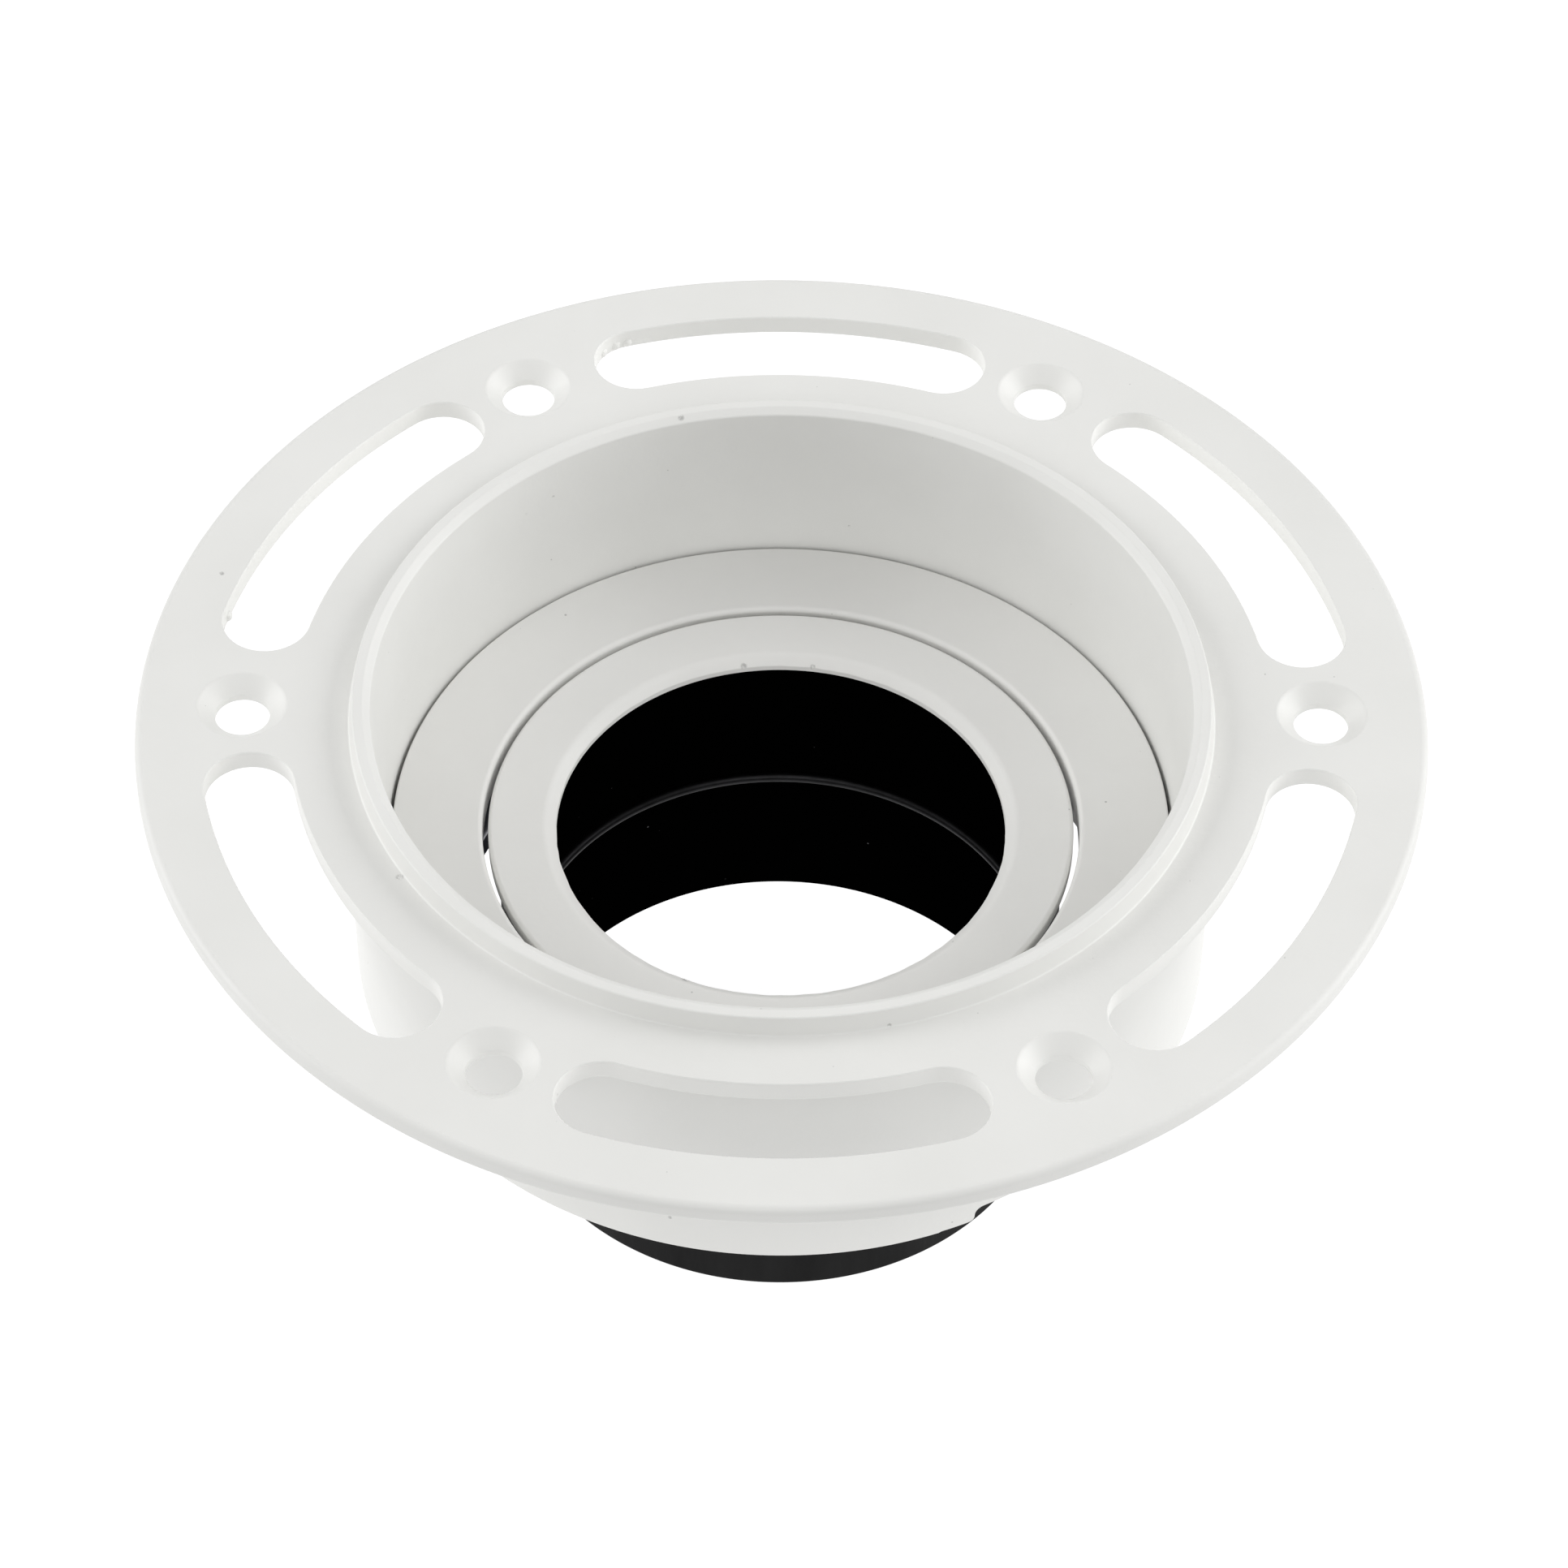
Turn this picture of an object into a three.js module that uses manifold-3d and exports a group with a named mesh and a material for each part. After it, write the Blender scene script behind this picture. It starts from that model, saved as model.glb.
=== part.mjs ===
// Trimless recessed downlight frame for a 50 mm lamp, modelled in millimetres.
// +Z points out of the ceiling into the room. z = 0 is the flange's back face, on the can's axis.
import * as THREE from 'three';
import { mergeVertices } from 'three/addons/utils/BufferGeometryUtils.js';
import Module from 'manifold-3d';

const wasm = await Module();
wasm.setup();

// ---- Driving dimensions -------------------------------------------------------------------
const FLANGE = { radius: 60, thickness: 2.1, edge: 0.6 };
const LIP = { innerRadius: 38.15, outerTop: 39.85, outerBase: 40.15, top: 4.2, edge: 0.2, baseFillet: 0.2 };
const LIP_BEVEL = { width: 0.75, drop: 0.5 };
const CAN = { outerTop: 41, outerBottom: 40.75, bottom: -28.25 };
const CAN_BORE = { midRadius: 37.15, midZ: -13.5, bottomRadius: 37 };
const SHELF = { innerRadius: 32, thickness: 2 };
const SLOT = { count: 6, first: 29.4, radius: 49.9, halfWidth: 4.13, halfAngle: 17.55 };
const SCREW_HOLE = { count: 6, first: 0, radius: 50.2, boreRadius: 2.55, sinkRadius: 4.15, sinkDepth: 1.35 };
const RIM_NOTCH = { from: -63.5, to: -26.5, top: -26.2 };

const CARRIER = { outerRadius: 36.8, innerRadius: 28.3, top: -13, plate: 3, edge: 0.5, skirtOuter: 36.55 };
const SKIRT = { innerRadius: 35, bottom: -25.5 };
const PIVOT = { z: -17, bossHalfWidth: 3.2, bossInner: 28.4, bossBottom: -19.4 };
const PIVOT_RECESS = { radius: 2.15, end: 29 };
const PIVOT_SCREW = { bodyRadius: 1.5, dogRadius: 0.9, outerEnd: 36.3, shoulder: 29.2, tip: 24.9, fit: 0.12 };
const HEX_SOCKET = { acrossCorners: 1.75, depth: 1.8 };
const FRICTION_WASHER = { outerRadius: 1.85, innerRadius: 1.05, from: 28.1, to: 28.85 };

const TILT_RING = { outerRadius: 27.75, openingRadius: 21.3, top: -13.15, flangeBottom: -14.9, edge: 0.45 };
const SPIGOT = { outerRadius: 25.1, innerRadius: 24, bottom: -16.2 };
const EAR = { halfWidth: 2.6, outer: 27.95, top: -14.3, bottom: -18.9 };
const TUBE = { outerRadius: 26.8, innerRadius: 25.4, top: -15.2, bottom: -49.7, edge: 0.25 };
const WIRE = { grooveZ: -33.9, grooveDepth: 0.6, grooveHeight: 1.5, wireRadius: 0.5, opening: 40 };

const SPRING = { angles: [157, 67, -23, -113], width: 6.4, thickness: 0.4, samples: 22 };
const RIVET = { offset: 1.75, radius: 31.6, shankRadius: 0.8, headRadius: 1.25, headHeight: 0.6, depth: 1.9 };
const EARTH = { angle: 97, radius: 39.4, shankRadius: 1.5, headRadius: 2.75, headHeight: 1.7, depth: 7 };
const EARTH_BOSS = { radius: 2.3, height: 9.5 };
const EARTH_WASHER = { outerRadius: 2.95, innerRadius: 1.7, thickness: 0.7 };

const FINE = 72;
const ROUND = 24;
const SMALL_GAP = 0.15;
const THROUGH = 1;

const MATERIALS = {
  whitePaint: { color: 0xe9e9e6, roughness: 0.5, metalness: 0 },
  blackPaint: { color: 0x151515, roughness: 0.6, metalness: 0 },
  springSteel: { color: 0x6d7278, roughness: 0.35, metalness: 1 },
  blackSteel: { color: 0x26272a, roughness: 0.4, metalness: 1 },
  zincSteel: { color: 0xb9bdc0, roughness: 0.3, metalness: 1 },
  rivetAluminium: { color: 0xc9cbcd, roughness: 0.4, metalness: 1 },
  brass: { color: 0xb8944a, roughness: 0.35, metalness: 1 },
  nylon: { color: 0x2c2c2c, roughness: 0.7, metalness: 0 },
};

// ---- Small helpers ------------------------------------------------------------------------
const radians = THREE.MathUtils.degToRad;
const point = (x, y) => new THREE.Vector2(x, y);
const polar = (radius, degrees) => point(radius, 0).rotateAround(point(0, 0), radians(degrees));

// Welds a geometry to positions only, which makes its surface one closed mesh.
function weld(geometry) {
  const bare = geometry.index ? geometry.toNonIndexed() : geometry;
  bare.deleteAttribute('normal');
  bare.deleteAttribute('uv');
  return mergeVertices(bare, 1e-4);
}

function toSolid(geometry) {
  const welded = weld(geometry);
  return new wasm.Manifold(new wasm.Mesh({
    numProp: 3,
    vertProperties: new Float32Array(welded.attributes.position.array),
    triVerts: new Uint32Array(welded.index.array),
  }));
}

function toGeometry(solid) {
  const mesh = solid.getMesh();
  const geometry = new THREE.BufferGeometry();
  geometry.setAttribute('position', new THREE.BufferAttribute(new Float32Array(mesh.vertProperties), 3));
  geometry.setIndex(new THREE.BufferAttribute(new Uint32Array(mesh.triVerts), 1));
  geometry.computeVertexNormals();
  return geometry;
}

// Turns a profile of [radius, z] pairs, listed anticlockwise, about the Z axis.
function turned(profile, segments) {
  const closed = [...profile, profile[0]].map(([radius, z]) => point(radius, z));
  return new THREE.LatheGeometry(closed, segments).rotateX(Math.PI / 2);
}

// Turns a profile of [radius, distance] pairs that starts and ends on the axis, about the Y axis.
function turnedAlongY(profile, segments) {
  return new THREE.LatheGeometry(profile.map(([radius, along]) => point(radius, along)), segments);
}

// Extrudes a flat shape upward from z = from to z = to.
function slab(shape, from, to, curveSegments) {
  const options = { depth: to - from, bevelEnabled: false, curveSegments };
  return new THREE.ExtrudeGeometry(shape, options).translate(0, 0, from);
}

const repeat = (count, first, make) =>
  Array.from({ length: count }, (unused, index) => make(first + (index * 360) / count));

const cutAll = (solid, cutters) => cutters.reduce((rest, cutter) => rest.subtract(toSolid(cutter)), solid);

// ---- Frame casting: flange, plaster lip, can and shelf --------------------------------------
function frameProfile() {
  const { radius, thickness, edge } = FLANGE;
  return [
    [CAN.outerTop + 0.6, 0],
    [radius - edge, 0],
    [radius - edge * 0.3, edge * 0.3],
    [radius, edge],
    [radius, thickness - edge],
    [radius - edge * 0.3, thickness - edge * 0.3],
    [radius - edge, thickness],
    [LIP.outerBase + LIP.baseFillet, thickness],
    [LIP.outerBase, thickness + LIP.baseFillet],
    [LIP.outerTop, LIP.top - LIP.edge],
    [LIP.outerTop - LIP.edge, LIP.top],
    [LIP.innerRadius + LIP_BEVEL.width, LIP.top],
    [LIP.innerRadius, LIP.top - LIP_BEVEL.drop],
    [CAN_BORE.midRadius, CAN_BORE.midZ],
    [CAN_BORE.bottomRadius, CAN.bottom + SHELF.thickness],
    [SHELF.innerRadius, CAN.bottom + SHELF.thickness],
    [SHELF.innerRadius, CAN.bottom],
    [CAN.outerBottom - 0.4, CAN.bottom],
    [CAN.outerBottom, CAN.bottom + 0.4],
    [CAN.outerTop, -0.6],
  ];
}

// A curved slot with round ends, cut straight through the flange.
function slotCutter(angle) {
  const { radius, halfWidth, halfAngle } = SLOT;
  const start = radians(angle - halfAngle);
  const end = radians(angle + halfAngle);
  const startCentre = polar(radius, angle - halfAngle);
  const endCentre = polar(radius, angle + halfAngle);
  const shape = new THREE.Shape();
  shape.absarc(0, 0, radius + halfWidth, start, end, false);
  shape.absarc(endCentre.x, endCentre.y, halfWidth, end, end + Math.PI, false);
  shape.absarc(0, 0, radius - halfWidth, end, start, true);
  shape.absarc(startCentre.x, startCentre.y, halfWidth, start + Math.PI, start + 2 * Math.PI, false);
  return slab(shape, -THROUGH, FLANGE.thickness + THROUGH, 8);
}

// A clearance hole with a countersink that opens on the room side.
function screwHoleCutter(angle) {
  const { radius, boreRadius, sinkRadius, sinkDepth } = SCREW_HOLE;
  const top = FLANGE.thickness;
  const spread = ((sinkRadius - boreRadius) / sinkDepth) * THROUGH;
  const profile = [
    [0, -THROUGH],
    [boreRadius, -THROUGH],
    [boreRadius, top - sinkDepth],
    [sinkRadius + spread, top + THROUGH],
    [0, top + THROUGH],
  ];
  const centre = polar(radius, angle);
  return turned(profile, ROUND).translate(centre.x, centre.y, 0);
}

// A sector that takes the shelf and the lowest part of the can's wall away.
function rimNotchCutter() {
  const inner = SHELF.innerRadius - THROUGH;
  const outer = CAN.outerTop + THROUGH;
  const shape = new THREE.Shape();
  shape.absarc(0, 0, outer, radians(RIM_NOTCH.from), radians(RIM_NOTCH.to), false);
  shape.absarc(0, 0, inner, radians(RIM_NOTCH.to), radians(RIM_NOTCH.from), true);
  return slab(shape, CAN.bottom - THROUGH, RIM_NOTCH.top, 8);
}

// A round rib on the can's outside wall that gives the earth screw's thread its depth.
function earthBoss() {
  const { radius, height } = EARTH_BOSS;
  const centre = polar(EARTH.radius, EARTH.angle);
  return new THREE.CylinderGeometry(radius, radius, height, ROUND)
    .rotateX(Math.PI / 2)
    .translate(centre.x, centre.y, CAN.bottom + height / 2);
}

function earthHoleCutter() {
  const radius = EARTH.shankRadius + SMALL_GAP;
  const centre = polar(EARTH.radius, EARTH.angle);
  const length = EARTH.depth + SMALL_GAP + THROUGH;
  return new THREE.CylinderGeometry(radius, radius, length, ROUND)
    .rotateX(Math.PI / 2)
    .translate(centre.x, centre.y, CAN.bottom - THROUGH + length / 2);
}

function frameCasting() {
  const body = toSolid(turned(frameProfile(), FINE)).add(toSolid(earthBoss()));
  return toGeometry(cutAll(body, [
    ...repeat(SLOT.count, SLOT.first, slotCutter),
    ...repeat(SCREW_HOLE.count, SCREW_HOLE.first, screwHoleCutter),
    rimNotchCutter(),
    earthHoleCutter(),
  ]));
}

// ---- Carrier ring: turns in the can and holds the springs and pivots -------------------------
const plateBottom = CARRIER.top - CARRIER.plate;

function carrierProfile() {
  const { outerRadius, innerRadius, top, edge, skirtOuter } = CARRIER;
  return [
    [innerRadius, plateBottom],
    [SKIRT.innerRadius, plateBottom],
    [SKIRT.innerRadius, SKIRT.bottom],
    [skirtOuter, SKIRT.bottom],
    [outerRadius, plateBottom],
    [outerRadius, top - 0.3],
    [outerRadius - 0.3, top],
    [innerRadius + edge * 1.2, top],
    [innerRadius + edge * 0.4, top - edge * 0.3],
    [innerRadius, top - edge * 1.2],
  ];
}

// A block under the plate at the rear or front that carries a pivot screw.
function pivotBoss(side) {
  const length = SKIRT.innerRadius + 0.5 - PIVOT.bossInner;
  const height = plateBottom + 0.5 - PIVOT.bossBottom;
  return new THREE.BoxGeometry(2 * PIVOT.bossHalfWidth, length, height)
    .translate(0, side * (PIVOT.bossInner + length / 2), PIVOT.bossBottom + height / 2);
}

// A round hole along Y, from one radius to another, on the rear (side 1) or front (side -1).
function holeAlongY(side, radius, from, to) {
  return new THREE.CylinderGeometry(radius, radius, to - from, ROUND)
    .translate(0, side * (from + to) / 2, PIVOT.z);
}

const rivetPlaces = SPRING.angles.flatMap((angle) => [-1, 1].map((side) => {
  const turn = THREE.MathUtils.radToDeg(Math.atan2(side * RIVET.offset, RIVET.radius));
  return polar(Math.hypot(RIVET.offset, RIVET.radius), angle + turn);
}));

function rivetHoleCutter(place) {
  const radius = RIVET.shankRadius + SMALL_GAP;
  const length = RIVET.depth + SMALL_GAP + THROUGH;
  return new THREE.CylinderGeometry(radius, radius, length, ROUND / 2)
    .rotateX(Math.PI / 2)
    .translate(place.x, place.y, plateBottom - THROUGH + length / 2);
}

function carrierRing() {
  const bossed = [1, -1].reduce(
    (body, side) => body.add(toSolid(pivotBoss(side))),
    toSolid(turned(carrierProfile(), FINE)),
  );
  const screwRadius = PIVOT_SCREW.bodyRadius + PIVOT_SCREW.fit;
  const pivotHoles = [1, -1].flatMap((side) => [
    holeAlongY(side, screwRadius, PIVOT.bossInner - 2, CARRIER.outerRadius + THROUGH),
    holeAlongY(side, PIVOT_RECESS.radius, PIVOT.bossInner - 2, PIVOT_RECESS.end),
  ]);
  return toGeometry(cutAll(bossed, [...pivotHoles, ...rivetPlaces.map(rivetHoleCutter)]));
}

// ---- Pivot screws and friction washers -------------------------------------------------------
function pivotScrew() {
  const { bodyRadius, dogRadius, outerEnd, shoulder, tip } = PIVOT_SCREW;
  const profile = [
    [0, tip],
    [dogRadius - 0.2, tip],
    [dogRadius, tip + 0.2],
    [dogRadius, shoulder],
    [bodyRadius, shoulder + 0.4],
    [bodyRadius, outerEnd - 0.2],
    [bodyRadius - 0.2, outerEnd],
    [0, outerEnd],
  ];
  const corner = HEX_SOCKET.acrossCorners / 2;
  const socketLength = HEX_SOCKET.depth + THROUGH;
  const socket = new THREE.CylinderGeometry(corner, corner, socketLength, 6)
    .translate(0, outerEnd - HEX_SOCKET.depth + socketLength / 2, 0);
  return toGeometry(toSolid(turnedAlongY(profile, ROUND)).subtract(toSolid(socket)));
}

function frictionWasher() {
  const { outerRadius, innerRadius, from, to } = FRICTION_WASHER;
  const profile = [
    [innerRadius, from],
    [outerRadius, from],
    [outerRadius, to],
    [innerRadius, to],
    [innerRadius, from],
  ];
  return weld(turnedAlongY(profile, ROUND));
}

// ---- Tilt ring and lamp tube -----------------------------------------------------------------
function tiltRingProfile() {
  const { outerRadius, openingRadius, top, flangeBottom, edge } = TILT_RING;
  return [
    [openingRadius, top - 1.25],
    [openingRadius + 0.8, flangeBottom],
    [SPIGOT.innerRadius, flangeBottom],
    [SPIGOT.innerRadius, SPIGOT.bottom],
    [SPIGOT.outerRadius, SPIGOT.bottom],
    [SPIGOT.outerRadius, flangeBottom],
    [outerRadius - 0.2, flangeBottom],
    [outerRadius, flangeBottom + 0.2],
    [outerRadius, top - edge * 1.6],
    [outerRadius - edge * 0.35, top - edge * 0.45],
    [outerRadius - edge * 1.2, top],
    [openingRadius + 1.5, top],
    [openingRadius + 0.75, top - 0.17],
    [openingRadius + 0.25, top - 0.55],
    [openingRadius, top - 0.95],
  ];
}

const dogHoles = () => [1, -1].map((side) => (
  holeAlongY(side, PIVOT_SCREW.dogRadius + PIVOT_SCREW.fit, TUBE.innerRadius - THROUGH, EAR.outer + THROUGH)
));

// An ear outside the tube at the rear or front, which the pivot screw's dog point goes through.
function pivotEar(side) {
  const length = EAR.outer - TUBE.innerRadius - 0.5;
  const height = EAR.top - EAR.bottom;
  return new THREE.BoxGeometry(2 * EAR.halfWidth, length, height)
    .translate(0, side * (EAR.outer - length / 2), EAR.bottom + height / 2);
}

// The round space that the tube's top end stands in, under the ring's flange.
function tubeSeatCutter() {
  const outer = TUBE.outerRadius + 0.25;
  return turned([
    [SPIGOT.outerRadius, EAR.bottom - THROUGH],
    [outer, EAR.bottom - THROUGH],
    [outer, TILT_RING.flangeBottom],
    [SPIGOT.outerRadius, TILT_RING.flangeBottom],
  ], FINE);
}

function tiltRing() {
  const eared = [1, -1].reduce(
    (body, side) => body.add(toSolid(pivotEar(side))),
    toSolid(turned(tiltRingProfile(), FINE)),
  );
  return toGeometry(cutAll(eared, [tubeSeatCutter(), ...dogHoles()]));
}

function lampTube() {
  const { outerRadius, innerRadius, top, bottom, edge } = TUBE;
  const grooveRadius = innerRadius + WIRE.grooveDepth;
  const profile = [
    [innerRadius + edge, bottom],
    [outerRadius - edge, bottom],
    [outerRadius, bottom + edge],
    [outerRadius, top],
    [innerRadius, top],
    [innerRadius, WIRE.grooveZ + WIRE.grooveHeight / 2],
    [grooveRadius, WIRE.grooveZ + WIRE.grooveHeight / 2],
    [grooveRadius, WIRE.grooveZ - WIRE.grooveHeight / 2],
    [innerRadius, WIRE.grooveZ - WIRE.grooveHeight / 2],
    [innerRadius, bottom + edge],
  ];
  return toGeometry(cutAll(toSolid(turned(profile, FINE)), dogHoles()));
}

// An open wire ring, its gap at the front, sprung into the tube's groove.
function lampRetainingRing() {
  const { grooveZ, grooveDepth, wireRadius, opening } = WIRE;
  const ringRadius = TUBE.innerRadius + grooveDepth - wireRadius - SMALL_GAP;
  const steps = 48;
  const places = Array.from({ length: steps + 1 }, (unused, step) => {
    const place = polar(ringRadius, -90 + opening / 2 + (step * (360 - opening)) / steps);
    return new THREE.Vector3(place.x, place.y, grooveZ);
  });
  const section = new THREE.Shape().absarc(0, 0, wireRadius, 0, 2 * Math.PI, false);
  const extrudePath = new THREE.CatmullRomCurve3(places);
  return weld(new THREE.ExtrudeGeometry(section, { steps, curveSegments: 4, bevelEnabled: false, extrudePath }));
}

// ---- Retaining springs and their rivets --------------------------------------------------------
// Centre line of the strip as [radius, z]: foot, leg, neck inside the shelf, and the snap bulge below it.
function springCentreLine() {
  const footZ = plateBottom - SMALL_GAP - SPRING.thickness / 2;
  const neckRadius = SHELF.innerRadius - 0.75;
  const leg = new THREE.SplineCurve([
    point(33.4, footZ),
    point(34.1, footZ - 0.6),
    point(34.25, footZ - 3.2),
    point(33.4, footZ - 6.4),
    point(neckRadius + 0.15, CAN.bottom + SHELF.thickness + 0.2),
    point(neckRadius, CAN.bottom + 0.3),
    point(neckRadius + 1.35, CAN.bottom - 1.4),
    point(neckRadius + 0.55, CAN.bottom - 3.4),
  ]);
  return [point(29.4, footZ), ...leg.getPoints(SPRING.samples)];
}

// Outline of a strip of even thickness along a centre line.
function stripShape(line, thickness) {
  const normals = line.map((place, index) => {
    const before = line[Math.max(index - 1, 0)];
    const after = line[Math.min(index + 1, line.length - 1)];
    const along = after.clone().sub(before).normalize();
    return point(-along.y, along.x);
  });
  const offset = (distance) => line.map((place, index) => place.clone().addScaledVector(normals[index], distance));
  return new THREE.Shape([...offset(-thickness / 2), ...offset(thickness / 2).reverse()]);
}

function retainingSpring(angle) {
  const shape = stripShape(springCentreLine(), SPRING.thickness);
  const strip = slab(shape, -SPRING.width / 2, SPRING.width / 2, 1)
    .rotateX(Math.PI / 2)
    .rotateZ(radians(angle));
  const holes = rivetPlaces.map((place) => new THREE.CylinderGeometry(
    RIVET.shankRadius + SMALL_GAP, RIVET.shankRadius + SMALL_GAP, 3, ROUND / 2,
  ).rotateX(Math.PI / 2).translate(place.x, place.y, plateBottom));
  return toGeometry(cutAll(toSolid(strip), holes));
}

function springRivet(place) {
  const headTop = plateBottom - 2 * SMALL_GAP - SPRING.thickness;
  const profile = [
    [0, headTop - RIVET.headHeight],
    [RIVET.headRadius * 0.7, headTop - RIVET.headHeight * 0.8],
    [RIVET.headRadius, headTop],
    [RIVET.shankRadius, headTop],
    [RIVET.shankRadius, plateBottom + RIVET.depth],
    [0, plateBottom + RIVET.depth],
  ];
  return weld(turned(profile, ROUND / 2).translate(place.x, place.y, 0));
}

// ---- Earth screw and washer on the can's back rim ------------------------------------------------
function earthScrew() {
  const headTop = CAN.bottom - EARTH_WASHER.thickness - 2 * SMALL_GAP;
  const profile = [
    [0, headTop - EARTH.headHeight],
    [EARTH.headRadius * 0.75, headTop - EARTH.headHeight],
    [EARTH.headRadius, headTop - EARTH.headHeight * 0.55],
    [EARTH.headRadius, headTop],
    [EARTH.shankRadius, headTop],
    [EARTH.shankRadius, CAN.bottom + EARTH.depth],
    [0, CAN.bottom + EARTH.depth],
  ];
  const slotDepth = 0.8;
  const slot = new THREE.BoxGeometry(2 * EARTH.headRadius + 1, 0.9, 2 * slotDepth)
    .translate(0, 0, headTop - EARTH.headHeight);
  return toGeometry(toSolid(turned(profile, ROUND)).subtract(toSolid(slot)));
}

function earthWasher() {
  const { outerRadius, innerRadius, thickness } = EARTH_WASHER;
  const top = CAN.bottom - SMALL_GAP;
  const profile = [
    [innerRadius, top - thickness],
    [outerRadius, top - thickness],
    [outerRadius, top],
    [innerRadius, top],
  ];
  return weld(turned(profile, ROUND));
}

// ---- Assembly --------------------------------------------------------------------------------------
function namedMesh(name, geometry, look) {
  const mesh = new THREE.Mesh(geometry, new THREE.MeshStandardMaterial(look));
  mesh.name = name;
  return mesh;
}

const frame = new THREE.Group();
const earthPlace = polar(EARTH.radius, EARTH.angle);
const earthGroup = new THREE.Group();
earthGroup.position.set(earthPlace.x, earthPlace.y, 0);
earthGroup.add(
  namedMesh('earth_screw', earthScrew(), MATERIALS.brass),
  namedMesh('earth_washer', earthWasher(), MATERIALS.zincSteel),
);
frame.add(namedMesh('frame_casting', frameCasting(), MATERIALS.whitePaint), earthGroup);

const carrier = new THREE.Group();
carrier.add(namedMesh('carrier_ring', carrierRing(), MATERIALS.whitePaint));
SPRING.angles.forEach((angle, index) => {
  carrier.add(namedMesh(`retaining_spring_${index + 1}`, retainingSpring(angle), MATERIALS.springSteel));
});
rivetPlaces.forEach((place, index) => {
  carrier.add(namedMesh(`spring_rivet_${index + 1}`, springRivet(place), MATERIALS.rivetAluminium));
});
[['rear', 0], ['front', Math.PI]].forEach(([side, turn]) => {
  const pivot = new THREE.Group();
  pivot.position.z = PIVOT.z;
  pivot.rotation.z = turn;
  pivot.add(
    namedMesh(`pivot_screw_${side}`, pivotScrew(), MATERIALS.zincSteel),
    namedMesh(`friction_washer_${side}`, frictionWasher(), MATERIALS.nylon),
  );
  carrier.add(pivot);
});

const head = new THREE.Group();
head.add(
  namedMesh('tilt_ring', tiltRing(), MATERIALS.whitePaint),
  namedMesh('lamp_tube', lampTube(), MATERIALS.blackPaint),
  namedMesh('lamp_retaining_ring', lampRetainingRing(), MATERIALS.blackSteel),
);

const group = new THREE.Group();
group.add(frame, carrier, head);

export default group;
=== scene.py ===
"""Looks of a trimless plaster-in downlight frame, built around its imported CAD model.

Sizes below are in millimetres in the CAD frame: +Z out of the ceiling, z = 0 at the flange's back face.
"""

import math

import bmesh
import bpy
from mathutils import Matrix, Vector, noise


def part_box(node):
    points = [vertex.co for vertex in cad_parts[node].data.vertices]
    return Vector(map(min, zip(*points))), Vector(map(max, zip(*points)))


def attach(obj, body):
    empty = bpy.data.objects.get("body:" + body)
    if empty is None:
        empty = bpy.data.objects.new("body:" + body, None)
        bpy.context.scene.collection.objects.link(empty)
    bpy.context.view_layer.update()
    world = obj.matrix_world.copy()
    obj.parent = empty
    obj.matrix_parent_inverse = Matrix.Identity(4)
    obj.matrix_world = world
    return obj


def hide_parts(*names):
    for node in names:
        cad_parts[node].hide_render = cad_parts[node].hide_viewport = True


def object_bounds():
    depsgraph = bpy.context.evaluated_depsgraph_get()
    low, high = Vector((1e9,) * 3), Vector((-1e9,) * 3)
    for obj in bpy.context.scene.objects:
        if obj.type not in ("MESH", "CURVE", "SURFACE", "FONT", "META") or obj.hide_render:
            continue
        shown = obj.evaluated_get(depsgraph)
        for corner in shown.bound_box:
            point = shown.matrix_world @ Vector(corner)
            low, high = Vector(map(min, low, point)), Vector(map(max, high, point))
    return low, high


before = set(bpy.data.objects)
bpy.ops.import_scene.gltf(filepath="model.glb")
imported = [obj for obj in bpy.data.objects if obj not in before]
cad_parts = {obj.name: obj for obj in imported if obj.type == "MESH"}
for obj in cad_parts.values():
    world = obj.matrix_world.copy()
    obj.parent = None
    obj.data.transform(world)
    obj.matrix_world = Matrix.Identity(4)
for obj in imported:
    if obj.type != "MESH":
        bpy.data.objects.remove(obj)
cad_low, cad_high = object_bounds()

# ---- Sizes ------------------------------------------------------------------------------------
MM = 0.001
FLANGE_RADIUS = cad_high.x / MM
LIP_TOP = cad_high.z / MM
TUBE_BOTTOM = cad_low.z / MM
CAN_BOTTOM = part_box("frame_casting")[0].z / MM
FLANGE_THICKNESS = 2.1
LIP_INNER, LIP_OUTER_TOP, LIP_OUTER_BASE = 38.15, 39.85, 40.15
LIP_BEVEL_WIDTH, LIP_BEVEL_DROP = 0.75, 0.5
CAN_OUTER_TOP, CAN_OUTER_BOTTOM = 41.0, 40.75
CAN_INNER_MID, CAN_INNER_BOTTOM, CAN_MID_Z = 37.15, 37.0, -13.5
SHELF_INNER, SHELF_THICKNESS = 32.0, 2.0
SLOT_FIRST, SLOT_RADIUS, SLOT_HALF_WIDTH, SLOT_HALF_ANGLE = 29.4, 49.9, 4.13, 17.55
SCREW_HOLE_RADIUS, BORE_RADIUS, SINK_RADIUS, SINK_DEPTH = 50.2, 2.55, 4.15, 1.35
NOTCH_FROM, NOTCH_TO, NOTCH_TOP = -63.5, -26.5, -26.2
NOTCH_STEP_LENGTH, NOTCH_STEP_HEIGHT = 3.6, 0.4
LUMP_Z, LUMP_SHOWS = 0.6, 0.26
PAINT_LUMPS = ((107, 104, 0.5), (107, 121, 0.6), (107, 143, 0.55), (167, 154, 0.55), (167, 196, 0.5))

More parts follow.
